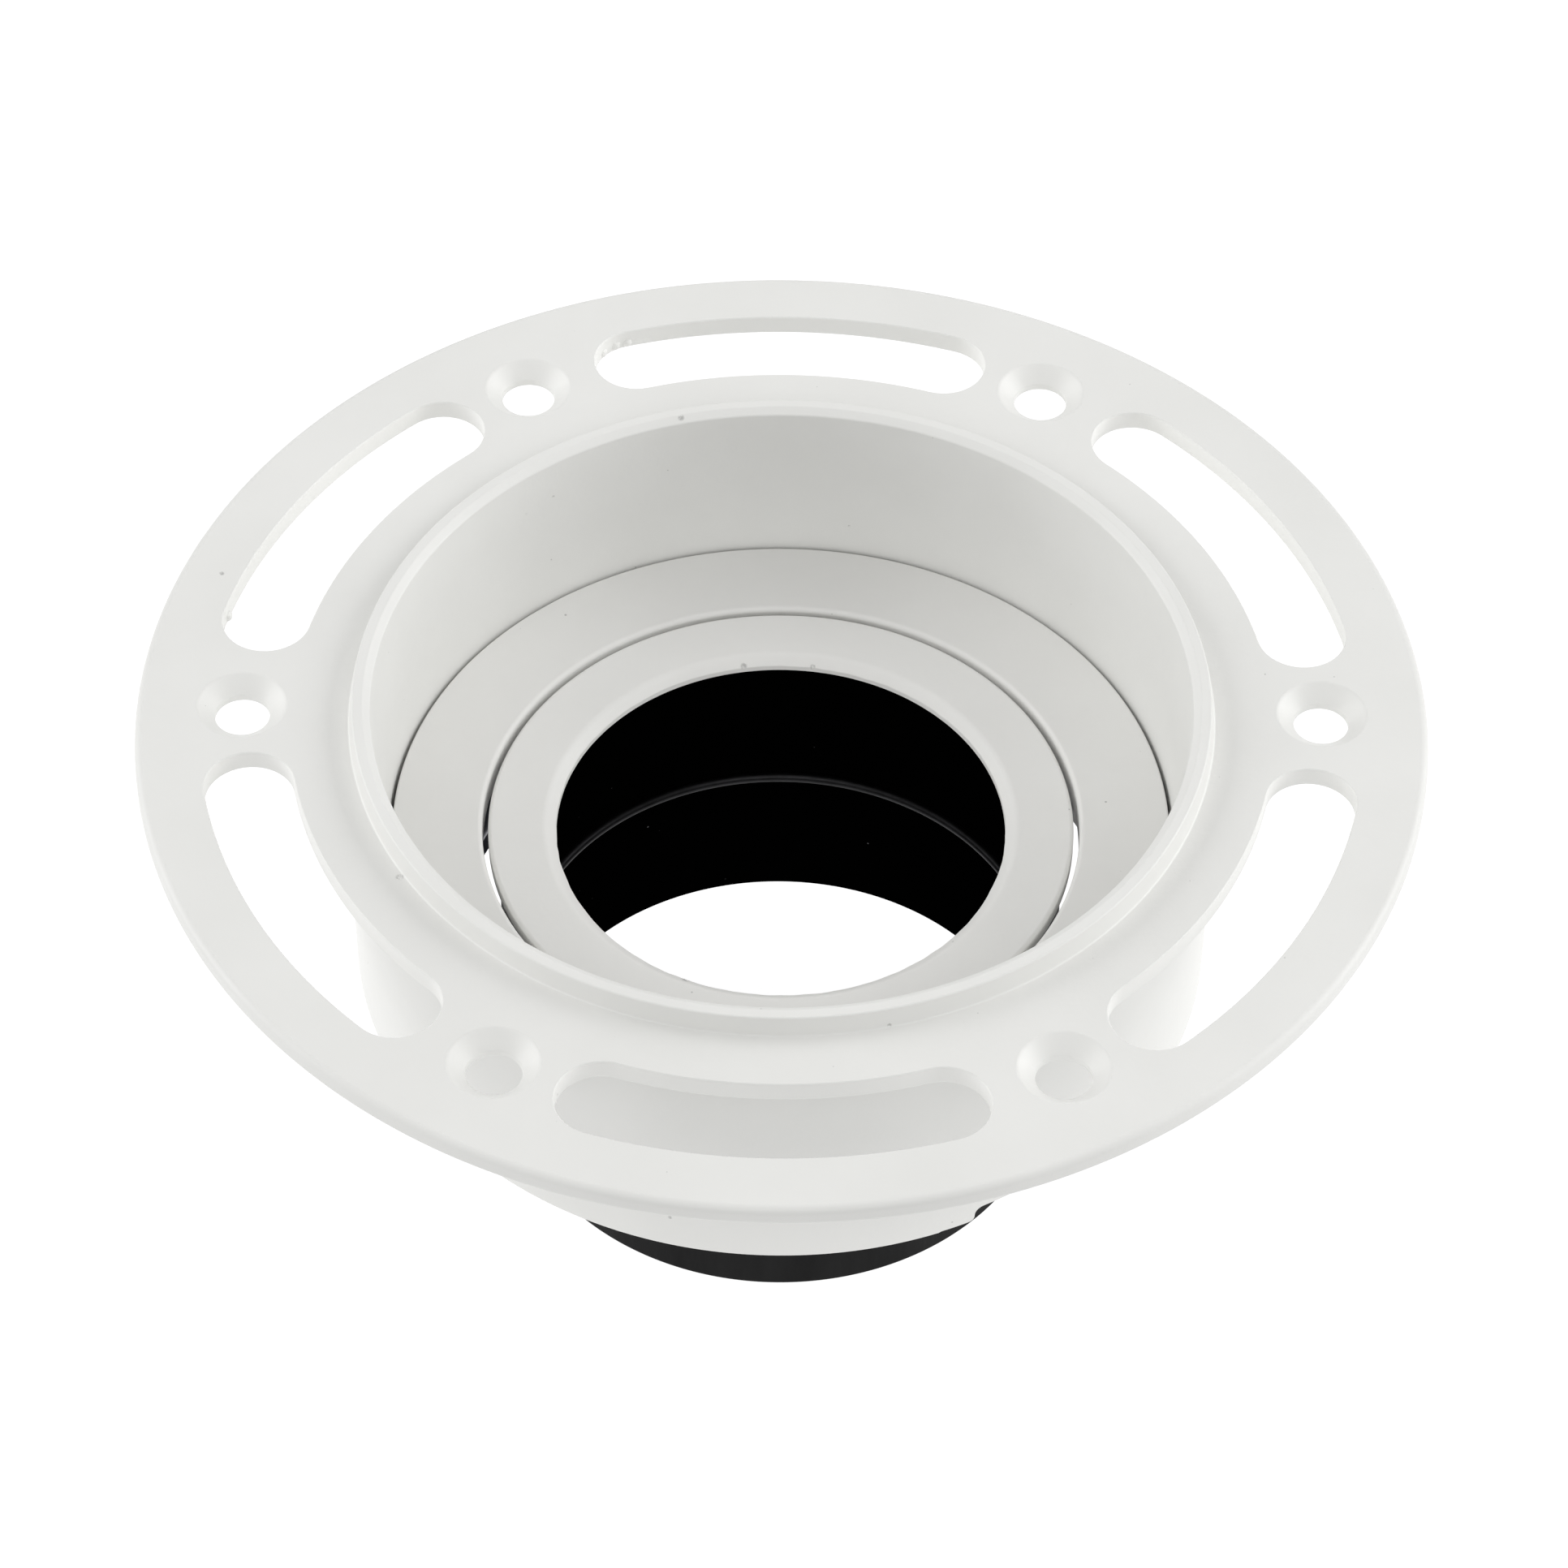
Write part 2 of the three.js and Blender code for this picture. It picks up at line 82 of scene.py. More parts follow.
CARRIER_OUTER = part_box("carrier_ring")[1].x / MM
CARRIER_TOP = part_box("carrier_ring")[1].z / MM
SKIRT_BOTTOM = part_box("carrier_ring")[0].z / MM
CARRIER_INNER, SKIRT_OUTER, SKIRT_INNER, PLATE_BOTTOM = 28.3, 36.55, 35.0, -16.0
PIVOT_Z, BOSS_HALF_WIDTH, BOSS_INNER, BOSS_BOTTOM = -17.0, 3.2, 28.4, -19.4
RECESS_RADIUS, RECESS_END = 2.15, 29.0
SCREW_BODY, SCREW_DOG, SCREW_OUTER_END, SCREW_SHOULDER, SCREW_TIP = 1.5, 0.9, 36.3, 29.2, 24.9
HOLE_FIT = 0.12
WASHER_OUTER, WASHER_INNER, WASHER_FROM, WASHER_TO = 1.85, 1.05, 28.1, 28.85
PIVOTS = ((1, "rear"), (-1, "front"))

TILT_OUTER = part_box("tilt_ring")[1].x / MM
TILT_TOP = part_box("tilt_ring")[1].z / MM
OPENING_RADIUS, TILT_FLANGE_BOTTOM = 21.3, -14.9
SPIGOT_OUTER, SPIGOT_INNER, SPIGOT_BOTTOM = 25.1, 24.0, -16.2
EAR_HALF_WIDTH, EAR_OUTER, EAR_TOP, EAR_BOTTOM = 2.6, 27.95, -14.3, -18.9
TUBE_OUTER, TUBE_INNER, TUBE_TOP = 26.8, 25.4, -15.2
GROOVE_Z, GROOVE_DEPTH, GROOVE_HEIGHT, WIRE_RADIUS, WIRE_OPENING = -33.9, 0.6, 1.5, 0.5, 40

SPRING_ANGLES = (157, 67, -23, -113)
SPRING_WIDTH, SPRING_THICKNESS = 6.4, 0.4
RIVET_OFFSET, RIVET_RADIUS, RIVET_SHANK = 1.75, 31.6, 0.8
RIVET_HEAD, RIVET_HEIGHT, RIVET_DEPTH = 1.25, 0.6, 1.9
EARTH_ANGLE, EARTH_RADIUS, EARTH_SHANK = 97, 39.4, 1.5
EARTH_HEAD, EARTH_HEAD_HEIGHT, EARTH_DEPTH = 2.75, 1.7, 7
EARTH_BOSS_RADIUS, EARTH_BOSS_HEIGHT = 2.3, 9.5
EARTH_WASHER_OUTER, EARTH_WASHER_INNER, EARTH_WASHER_THICKNESS = 2.95, 1.7, 0.7
GAP = 0.15

FINE = 288
MEDIUM = 96
SMALL = 40
THROUGH = 1.0
FLOOR_HALF_SIZE = 6000
# The tube's edge swings 5.8 mm lower at full tilt, and the floor is just below that.
FLOOR_Z = TUBE_BOTTOM - 6

# Lights and light table, in metres. Each softbox is (name, direction, power in watts).
SOFTBOX_SIZE = 0.9
SOFTBOX_DISTANCE = 1.2
SOFTBOXES = (
    ("left_softbox", (-0.9, 0.25, 0.4), 8.6),
    ("right_softbox", (0.9, 0.25, 0.4), 9.9),
    ("front_softbox", (0, -0.8, 0.6), 4.0),
)
TABLE_CENTRE = (0, 0.06, FLOOR_Z * MM)
TABLE_RADIUS, TABLE_FADE = 0.145, 0.3
TABLE_GLOW, FLOOR_GLOW = 0.96, 0.25
SKY_GLOW = 0.46
FLOOR_GREY = 0.16

# Camera, in metres, with its lens and sensor in millimetres.
SENSOR_WIDTH, FOCAL_LENGTH, NEAR_CLIP = 36.0, 136.41, 0.01
CAMERA_PLACE = (0, -0.383625, 0.399171)
CAMERA_RIGHT = (0.999966, 0.005665, 0.005982)
CAMERA_UP = (-0.008225, 0.727841, 0.685697)
CAMERA_FORWARD = (0.000469, 0.685723, -0.727863)


# ---- Shape helpers ----------------------------------------------------------------------------
def fillet(corners, closed=True, step=11):
    """Points of a path whose (x, y, radius) corners are rounded, with a point every step degrees."""
    points = []
    last = len(corners) - 1
    for index, (x, y, radius) in enumerate(corners):
        here = Vector((x, y))
        if radius == 0 or (not closed and index in (0, last)):
            points.append(here)
            continue
        before = (Vector(corners[index - 1][:2]) - here).normalized()
        after = (Vector(corners[(index + 1) % len(corners)][:2]) - here).normalized()
        half = math.acos(max(-1, min(1, before.dot(after)))) / 2
        centre = here + (before + after).normalized() * radius / math.sin(half)
        start = here + before * radius / math.tan(half) - centre
        end = here + after * radius / math.tan(half) - centre
        first = math.atan2(start.y, start.x)
        sweep = (math.atan2(end.y, end.x) - first + math.pi) % (2 * math.pi) - math.pi
        steps = max(2, math.ceil(abs(math.degrees(sweep)) / step))
        for k in range(steps + 1):
            angle = first + sweep * k / steps
            points.append(centre + radius * Vector((math.cos(angle), math.sin(angle))))
    return points


def make_object(name, bm):
    """A linked object from a bmesh in millimetres, cleaned of doubled points."""
    bmesh.ops.remove_doubles(bm, verts=bm.verts, dist=1e-5)
    bmesh.ops.scale(bm, vec=(MM, MM, MM), verts=bm.verts)
    mesh = bpy.data.meshes.new(name)
    bm.to_mesh(mesh)
    bm.free()
    obj = bpy.data.objects.new(name, mesh)
    bpy.context.collection.objects.link(obj)
    return obj


def skin_loops(bm, loops, closed_along, capped):
    """Quads between loops of equal length, anticlockwise as seen from the end of the stack."""
    rings = [[bm.verts.new(point) for point in loop] for loop in loops]
    pairs = list(zip(rings, rings[1:]))
    if closed_along:
        pairs.append((rings[-1], rings[0]))
    for low, high in pairs:
        for k in range(len(low)):
            after = (k + 1) % len(low)
            bm.faces.new((low[k], low[after], high[after], high[k]))
    if capped:
        bm.faces.new(list(reversed(rings[0])))
        bm.faces.new(rings[-1])


def loft(name, loops, closed_along=False, capped=True):
    """A solid skinned over a stack of loops, each with the same number of points."""
    bm = bmesh.new()
    skin_loops(bm, loops, closed_along, capped)
    return make_object(name, bm)


def turned(name, path, segments=FINE, turn=Matrix.Identity(4)):
    """A closed anticlockwise (radius, z) path turned about Z, then moved by turn."""
    bm = bmesh.new()
    loops = []
    angles = [2 * math.pi * s / segments for s in range(segments)]
    for r, z in path:
        loops.append([turn @ Vector((r * math.cos(a), r * math.sin(a), z)) for a in angles])
    skin_loops(bm, loops, closed_along=True, capped=False)
    return make_object(name, bm)


def along_y(side):
    """Turns a piece built along +Z to lie along Y at the pivot's height, outward on that side."""
    tip = Matrix.Rotation(-math.pi / 2, 4, "X") if side > 0 else Matrix.Rotation(math.pi / 2, 4, "X")
    return Matrix.Translation((0, 0, PIVOT_Z)) @ tip


def at_polar(radius, degrees):
    """Moves a piece from the Z axis to a place round it."""
    angle = math.radians(degrees)
    return Matrix.Translation((radius * math.cos(angle), radius * math.sin(angle), 0))


def rod(name, radius, low, high, turn=Matrix.Identity(4), segments=SMALL):
    """A plain cylinder, used for cutting and joining."""
    angles = [2 * math.pi * k / segments for k in range(segments)]
    circle = [(radius * math.cos(a), radius * math.sin(a)) for a in angles]
    loops = [[turn @ Vector((x, y, z)) for x, y in circle] for z in (low, high)]
    return loft(name, loops)


def block(name, low, high, edge=0.0):
    """A box with edges rounded by a small amount."""
    bm = bmesh.new()
    bmesh.ops.create_cube(bm, size=1)
    size = [b - a for a, b in zip(low, high)]
    middle = [(a + b) / 2 for a, b in zip(low, high)]
    bmesh.ops.scale(bm, vec=size, verts=bm.verts)
    bmesh.ops.translate(bm, vec=middle, verts=bm.verts)
    if edge:
        bmesh.ops.bevel(bm, geom=bm.edges, offset=edge, segments=3, affect="EDGES", profile=0.5)
    return make_object(name, bm)


def join(name, objects):
    """One object holding every given mesh. The given objects are removed."""
    bm = bmesh.new()
    for obj in objects:
        bm.from_mesh(obj.data)
        bpy.data.objects.remove(obj)
    mesh = bpy.data.meshes.new(name)
    bm.to_mesh(mesh)
    bm.free()
    joined = bpy.data.objects.new(name, mesh)
    bpy.context.collection.objects.link(joined)
    return joined


def combine(obj, others, operation):
    """Applies an exact boolean of the other objects to obj, and removes them."""
    tool = join(f"{obj.name}_tool", others)
    modifier = obj.modifiers.new("combine", "BOOLEAN")
    modifier.operation = operation
    modifier.solver = "EXACT"
    modifier.object = tool
    evaluated = obj.evaluated_get(bpy.context.evaluated_depsgraph_get())
    result = bpy.data.meshes.new_from_object(evaluated)
    obj.modifiers.clear()
    obj.data = result
    bpy.data.objects.remove(tool)


def shade(obj, limit=34):
    """Smooth shading that stays crisp across edges sharper than limit degrees."""
    bm = bmesh.new()
    bm.from_mesh(obj.data)
    bmesh.ops.dissolve_degenerate(bm, dist=1e-8, edges=bm.edges)
    for face in bm.faces:
        face.smooth = True
    for edge in bm.edges:
        edge.smooth = len(edge.link_faces) == 2 and edge.calc_face_angle(0) < math.radians(limit)
    bm.to_mesh(obj.data)
    bm.free()
    weighted = obj.modifiers.new("weighted_normals", "WEIGHTED_NORMAL")
    weighted.keep_sharp = True


def roughen(obj, near, amount, scale):
    """Moves points near a radius and height by a little noise, as on a hand-deburred edge."""
    radius, z, reach = near
    for vertex in obj.data.vertices:
        r = math.hypot(vertex.co.x, vertex.co.y) / MM
        distance = math.hypot(r - radius, vertex.co.z / MM - z)
        if distance < reach and r > 0:
            push = noise.noise(vertex.co / MM * scale) * amount * (1 - distance / reach)
            outward = Vector((vertex.co.x, vertex.co.y, 0)).normalized()
            vertex.co += outward * push * MM


def place(obj, body, node, material):
    """Finishes a piece: its shading, material, body, CAD node and material slot."""
    obj.data.materials.clear()
    obj.data.materials.append(material)
    shade(obj)
    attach(obj, body)
    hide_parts(node)


# ---- Materials --------------------------------------------------------------------------------
def new_material(name):
    """A node material, with its nodes, its links and its shader."""
    material = bpy.data.materials.new(name)
    material.use_nodes = True
    nodes, links = material.node_tree.nodes, material.node_tree.links
    return material, nodes, links, nodes["Principled BSDF"]


def add_noise(nodes, links, coordinate, scale, detail=3.0, roughness=0.55, stretch=None):
    """A noise texture on object coordinates, in features per metre, stretched if asked."""
    source = coordinate
    if stretch:
        mapping = nodes.new("ShaderNodeMapping")
        mapping.inputs["Scale"].default_value = stretch
        links.new(coordinate, mapping.inputs["Vector"])
        source = mapping.outputs["Vector"]
    texture = nodes.new("ShaderNodeTexNoise")
    texture.inputs["Scale"].default_value = scale
    texture.inputs["Detail"].default_value = detail
    texture.inputs["Roughness"].default_value = roughness
    links.new(source, texture.inputs["Vector"])
    return texture.outputs["Fac"]


def remap(nodes, links, value, low, high, to_low, to_high):
    """Maps a value from one range to another, and holds it inside that range."""
    node = nodes.new("ShaderNodeMapRange")
    node.inputs["From Min"].default_value = low
    node.inputs["From Max"].default_value = high
    node.inputs["To Min"].default_value = to_low
    node.inputs["To Max"].default_value = to_high
    links.new(value, node.inputs["Value"])
    return node.outputs["Result"]


def mix_colour(nodes, links, factor, first, second):
    """Blends two colours by a factor. Each colour is a socket or three numbers."""
    node = nodes.new("ShaderNodeMix")
    node.data_type = "RGBA"
    for socket, value in (("A", first), ("B", second)):
        target = [s for s in node.inputs if s.name == socket and s.type == "RGBA"][0]
        if hasattr(value, "is_linked"):
            links.new(value, target)
        else:
            target.default_value = (*value, 1)
    links.new(factor, node.inputs["Factor"])
    return [s for s in node.outputs if s.type == "RGBA"][0]


def combine_values(nodes, links, operation, first, second):
    """One math operation on two values. Each value is a socket or a number."""
    node = nodes.new("ShaderNodeMath")
    node.operation = operation
    for socket, value in zip(node.inputs, (first, second)):
        if hasattr(value, "is_linked"):
            links.new(value, socket)
        else:
            socket.default_value = value
    return node.outputs["Value"]


def distance_from(nodes, links, coordinate, point):
    """The distance from a point, in metres."""
    node = nodes.new("ShaderNodeVectorMath")
    node.operation = "DISTANCE"
    node.inputs[1].default_value = point
    links.new(coordinate, node.inputs[0])
    return node.outputs["Value"]


def specks(nodes, links, coordinate, scale, radius, share):
    """A mask of small round specks: radius in cells, on that share of the cells."""
    texture = nodes.new("ShaderNodeTexVoronoi")
    texture.inputs["Scale"].default_value = scale
    links.new(coordinate, texture.inputs["Vector"])
    separate = nodes.new("ShaderNodeSeparateColor")
    links.new(texture.outputs["Color"], separate.inputs["Color"])
    dot = remap(nodes, links, texture.outputs["Distance"], radius * 0.6, radius, 1, 0)
    chosen = combine_values(nodes, links, "GREATER_THAN", separate.outputs["Red"], 1 - share)
    return combine_values(nodes, links, "MULTIPLY", dot, chosen)


def scars(nodes, links, coordinate, places):
    """A mask of single knocks and stains, each (radius, degrees, z, size) about the frame's axis."""
    mask = None
    for radius, degrees, z, size in places:
        centre = at_polar(radius, degrees).translation * MM + Vector((0, 0, z * MM))
        distance = distance_from(nodes, links, coordinate, centre)
        spot = remap(nodes, links, distance, size * MM * 0.5, size * MM, 1, 0)
        mask = spot if mask is None else combine_values(nodes, links, "MAXIMUM", mask, spot)
    rough_noise = add_noise(nodes, links, coordinate, 2600, detail=4, roughness=0.7)
    ragged = remap(nodes, links, rough_noise, 0.42, 0.55, 0, 1)
    return combine_values(nodes, links, "MULTIPLY", mask, ragged)


def add_bump(nodes, links, shader, layers):
    """Stacks bump maps: each layer is (height, strength, distance in metres)."""
    normal = None
    for height, strength, distance in layers:
        bump = nodes.new("ShaderNodeBump")
        bump.inputs["Strength"].default_value = strength
        bump.inputs["Distance"].default_value = distance
        links.new(height, bump.inputs["Height"])
        if normal:
            links.new(normal, bump.inputs["Normal"])
        normal = bump.outputs["Normal"]
    links.new(normal, shader.inputs["Normal"])


def powder_coat(name, light, shade_colour, roughness, knocks):
    """White satin paint on a die casting: faint orange peel, cloudy tone, pinholes and handling marks."""
    material, nodes, links, shader = new_material(name)
    coordinate = nodes.new("ShaderNodeTexCoord").outputs["Object"]
    clouds = add_noise(nodes, links, coordinate, 55, detail=4)
    peel = add_noise(nodes, links, coordinate, 1500)
    grit = add_noise(nodes, links, coordinate, 5200, detail=2)
    scuffs = add_noise(nodes, links, coordinate, 220, detail=5, roughness=0.7, stretch=(1, 0.22, 1))
    tone = mix_colour(nodes, links, remap(nodes, links, clouds, 0.35, 0.68, 0, 1), shade_colour, light)
    pinholes = specks(nodes, links, coordinate, 620, radius=0.075, share=0.035)
    dust = specks(nodes, links, coordinate, 1250, radius=0.085, share=0.012)
    marks = combine_values(nodes, links, "MAXIMUM", pinholes, dust)
    chips = combine_values(nodes, links, "MULTIPLY", scars(nodes, links, coordinate, knocks), 0.7)
    faint_marks = combine_values(nodes, links, "MULTIPLY", marks, 0.55)
    soiled = combine_values(nodes, links, "MAXIMUM", faint_marks, chips)
    dark = tuple(0.45 * c for c in shade_colour)
    links.new(mix_colour(nodes, links, soiled, tone, dark), shader.inputs["Base Color"])
    gloss = remap(nodes, links, scuffs, 0.3, 0.75, roughness - 0.05, roughness + 0.09)
    links.new(gloss, shader.inputs["Roughness"])
    shader.inputs["Specular IOR Level"].default_value = 0.45
    add_bump(nodes, links, shader, [
        (clouds, 0.25, 0.00022),
        (peel, 0.30, 0.00005),
        (grit, 0.22, 0.000012),
        (pinholes, 0.5, -0.00004),
        (chips, 0.5, -0.00006),
    ])
    return material


def black_paint(name, light, dark, specular):
    """Matt black paint with a fine tooth and a patchy scatter of pale dust."""
    material, nodes, links, shader = new_material(name)
    coordinate = nodes.new("ShaderNodeTexCoord").outputs["Object"]
    clouds = add_noise(nodes, links, coordinate, 90, detail=4)
    tooth = add_noise(nodes, links, coordinate, 4200)
    rubbed = add_noise(nodes, links, coordinate, 260, detail=6, roughness=0.75, stretch=(1, 1, 0.15))
    tone = mix_colour(nodes, links, clouds, dark, light)
    fine_dust = specks(nodes, links, coordinate, 900, radius=0.11, share=0.05)
    large_dust = specks(nodes, links, coordinate, 330, radius=0.06, share=0.05)
    dusty = combine_values(nodes, links, "MAXIMUM", fine_dust, large_dust)
    patches = remap(nodes, links, clouds, 0.45, 0.6, 0.1, 0.9)
    dust = combine_values(nodes, links, "MULTIPLY", dusty, patches)
    links.new(mix_colour(nodes, links, dust, tone, (0.16, 0.16, 0.165)), shader.inputs["Base Color"])
    links.new(remap(nodes, links, rubbed, 0.3, 0.75, 0.5, 0.7), shader.inputs["Roughness"])
    shader.inputs["Specular IOR Level"].default_value = specular
    add_bump(nodes, links, shader, [(tooth, 0.35, 0.000015), (dust, 0.3, 0.00003)])
    return material


def bare_metal(name, light, dark, roughness):
    """Plated or plain metal with a drawn grain, stains and small scratches."""
    material, nodes, links, shader = new_material(name)
    coordinate = nodes.new("ShaderNodeTexCoord").outputs["Object"]
    stains = add_noise(nodes, links, coordinate, 240, detail=5, roughness=0.65)
    drawn = add_noise(nodes, links, coordinate, 900, detail=4, roughness=0.6, stretch=(1, 1, 14))
    stained = remap(nodes, links, stains, 0.3, 0.7, 0, 1)
    links.new(mix_colour(nodes, links, stained, dark, light), shader.inputs["Base Color"])
    gloss = remap(nodes, links, drawn, 0.3, 0.7, roughness - 0.08, roughness + 0.12)
    links.new(gloss, shader.inputs["Roughness"])
    shader.inputs["Metallic"].default_value = 1.0
    add_bump(nodes, links, shader, [(drawn, 0.4, 0.000008), (stains, 0.2, 0.00001)])
    return material


def moulded_plastic(name, light, dark, roughness):
    """Plain moulded plastic with a fine grain."""
    material, nodes, links, shader = new_material(name)
    coordinate = nodes.new("ShaderNodeTexCoord").outputs["Object"]
    clouds = add_noise(nodes, links, coordinate, 400)
    grain = add_noise(nodes, links, coordinate, 6000, detail=2)
    links.new(mix_colour(nodes, links, clouds, dark, light), shader.inputs["Base Color"])
    gloss = remap(nodes, links, grain, 0.3, 0.7, roughness - 0.05, roughness + 0.08)
    links.new(gloss, shader.inputs["Roughness"])
    add_bump(nodes, links, shader, [(grain, 0.3, 0.000008)])
    return material


# Single knocks and stains: (radius, degrees, z, size).
FRAME_KNOCKS = (
    (38.6, 105, 4.1, 0.38),
    (40.6, 212, 2.2, 0.45),
    (40.1, 284, 2.3, 0.28),
    (38.0, 126, -0.3, 0.2),
    (37.9, 131, -0.7, 0.17),
    (37.3, 80, -9.9, 0.17),
    (40.8, 256, -24, 0.25),
    (56, 162, 2.1, 0.3),
)
CARRIER_KNOCKS = ((34.5, 128, CARRIER_TOP, 0.16), (31, 5, CARRIER_TOP, 0.15))
TILT_KNOCKS = (
    (21.5, 100, TILT_TOP - 0.7, 0.4),
    (21.5, 82, TILT_TOP - 0.8, 0.35),
    (21.5, 246, TILT_TOP - 0.7, 0.6),
)
FRAME_PAINT = powder_coat("frame_paint", (0.795, 0.795, 0.775), (0.765, 0.765, 0.744), 0.46, FRAME_KNOCKS)
CARRIER_PAINT = powder_coat("carrier_paint", (0.795, 0.793, 0.773), (0.77, 0.766, 0.746), 0.5, CARRIER_KNOCKS)
TILT_PAINT = powder_coat("tilt_paint", (0.825, 0.823, 0.803), (0.80, 0.796, 0.776), 0.5, TILT_KNOCKS)
TUBE_PAINT = black_paint("tube_paint", (0.007, 0.007, 0.0072), (0.004, 0.004, 0.0042), 0.1)
# Inside the tube: near-black paint with no reflection, darker than the tube's own paint. This is painted
# shade for the deep bore.
BORE_PAINTED_SHADE = black_paint("bore_painted_shade", (0.0007, 0.0007, 0.0007), (0.0003, 0.0003, 0.0003), 0.0)
SPRING_STEEL = bare_metal("spring_steel", (0.20, 0.21, 0.24), (0.11, 0.115, 0.13), 0.34)
BLACK_WIRE = bare_metal("black_wire", (0.035, 0.035, 0.037), (0.02, 0.02, 0.021), 0.42)
ZINC = bare_metal("zinc_plate", (0.56, 0.57, 0.58), (0.42, 0.43, 0.45), 0.3)
RIVET_METAL = bare_metal("rivet_metal", (0.62, 0.63, 0.64), (0.48, 0.49, 0.5), 0.36)
BRASS = bare_metal("earth_brass", (0.60, 0.44, 0.17), (0.42, 0.29, 0.1), 0.32)
NYLON = moulded_plastic("washer_nylon", (0.022, 0.022, 0.023), (0.014, 0.014, 0.015), 0.5)


# ---- Frame casting ----------------------------------------------------------------------------
def polar_point(radius, degrees):
    """The (x, y) point at a radius and an angle."""
    angle = math.radians(degrees)
    return Vector((radius * math.cos(angle), radius * math.sin(angle)))


def slot_outline(middle, grow):
    """The curved slot's outline, widened by grow all round, anticlockwise."""
    half = SLOT_HALF_WIDTH + grow
    start, end = middle - SLOT_HALF_ANGLE, middle + SLOT_HALF_ANGLE
    arc_steps, cap_steps = 40, 22
    points = []
    for k in range(arc_steps):
        points.append(polar_point(SLOT_RADIUS + half, start + (end - start) * k / arc_steps))
    for k in range(cap_steps):
        points.append(polar_point(SLOT_RADIUS, end) + polar_point(half, end + 180 * k / cap_steps))
    for k in range(arc_steps):
        points.append(polar_point(SLOT_RADIUS - half, end - (end - start) * k / arc_steps))
    for k in range(cap_steps):
        turn = start + 180 + 180 * k / cap_steps
        points.append(polar_point(SLOT_RADIUS, start) + polar_point(half, turn))
    return points


def rim_path(top, bottom, upper, lower):
    """(grow, z) path of a cutter that leaves both rims of its hole rounded."""
    spread, rise, reach, clear = 0.9, 0.12, 0.8, 0.001
    corners = [
        (spread, bottom - reach, 0),
        (spread, bottom - rise, 0),
        (0, bottom - clear, lower),
        (0, top + clear, upper),
        (spread, top + rise, 0),
        (spread, top + reach, 0),
    ]
    return fillet(corners, closed=False, step=14)


def slot_cutter(middle):
    """A curved slot through the flange, about its middle angle, with its rims softened by the paint."""
    loops = []
    for grow, z in rim_path(FLANGE_THICKNESS, 0, upper=0.26, lower=0.3):
        loops.append([Vector((p.x, p.y, z)) for p in slot_outline(middle, grow)])
    return loft("slot_cutter", loops)


def screw_hole_cutter(angle):
    """A countersunk hole whose rims are softened by the paint."""
    top = FLANGE_THICKNESS
    back_radius, front_radius = BORE_RADIUS + 0.8, SINK_RADIUS + 1.6
    corners = [
        (0, -THROUGH, 0),
        (back_radius, -THROUGH, 0),
        (back_radius, -0.1, 0),
        (BORE_RADIUS, 0, 0.25),
        (BORE_RADIUS, top - SINK_DEPTH, 0.25),
        (SINK_RADIUS, top, 0.7),
        (front_radius, top + 0.14, 0),
        (front_radius, top + THROUGH, 0),
        (0, top + THROUGH, 0),
    ]
    path = fillet(corners, closed=True, step=12)
    return turned(f"screw_hole_cutter_{angle}", path, MEDIUM, at_polar(SCREW_HOLE_RADIUS, angle))


def rim_notch_cutter():
    """A sector with rounded upper corners, which takes the shelf and the wall's last 2 mm away."""
    spacing, corner = 0.9, 0.9
    width = math.radians(NOTCH_TO - NOTCH_FROM) * CAN_OUTER_BOTTOM
    corners = [
        (-NOTCH_STEP_LENGTH, CAN_BOTTOM - THROUGH, 0),
        (width, CAN_BOTTOM - THROUGH, 0),
        (width, NOTCH_TOP, corner),
        (0, NOTCH_TOP, corner),
        (0, CAN_BOTTOM + NOTCH_STEP_HEIGHT, 0.6),
        (-NOTCH_STEP_LENGTH, CAN_BOTTOM + NOTCH_STEP_HEIGHT, 0.3),
    ]
    outline = fillet(corners, closed=True, step=15)
    dense = []
    for index, here in enumerate(outline):
        after = outline[(index + 1) % len(outline)]
        pieces = max(1, round((after - here).length / spacing))
        dense += [here.lerp(after, k / pieces) for k in range(pieces)]
    loops = []
    for radius in (CAN_OUTER_TOP + THROUGH, SHELF_INNER - THROUGH):
        loop = []
        for s, z in dense:
            angle = math.radians(NOTCH_FROM) + s / CAN_OUTER_BOTTOM
            loop.append(Vector((radius * math.cos(angle), radius * math.sin(angle), z)))
        loops.append(loop)
    cutter = loft("rim_notch_cutter", list(reversed(loops)))
    bm = bmesh.new()
    bm.from_mesh(cutter.data)
    bmesh.ops.triangulate(bm, faces=bm.faces)
    bmesh.ops.recalc_face_normals(bm, faces=bm.faces)
    bm.to_mesh(cutter.data)
    bm.free()
    return cutter


def paint_lump(slot_end, direction, size):
    """A small run of paint on the round end of a slot, sunk in its wall near the flange's back face."""
    centre = polar_point(SLOT_RADIUS, slot_end)
    centre += polar_point(SLOT_HALF_WIDTH + size - LUMP_SHOWS, direction)
    corners = [(0, -size, 0), (size, -size, size * 0.95), (size, size, size * 0.95), (0, size, 0)]
    ball = fillet(corners, step=20)
    return turned("paint_lump", ball, SMALL, Matrix.Translation((centre.x, centre.y, LUMP_Z)))


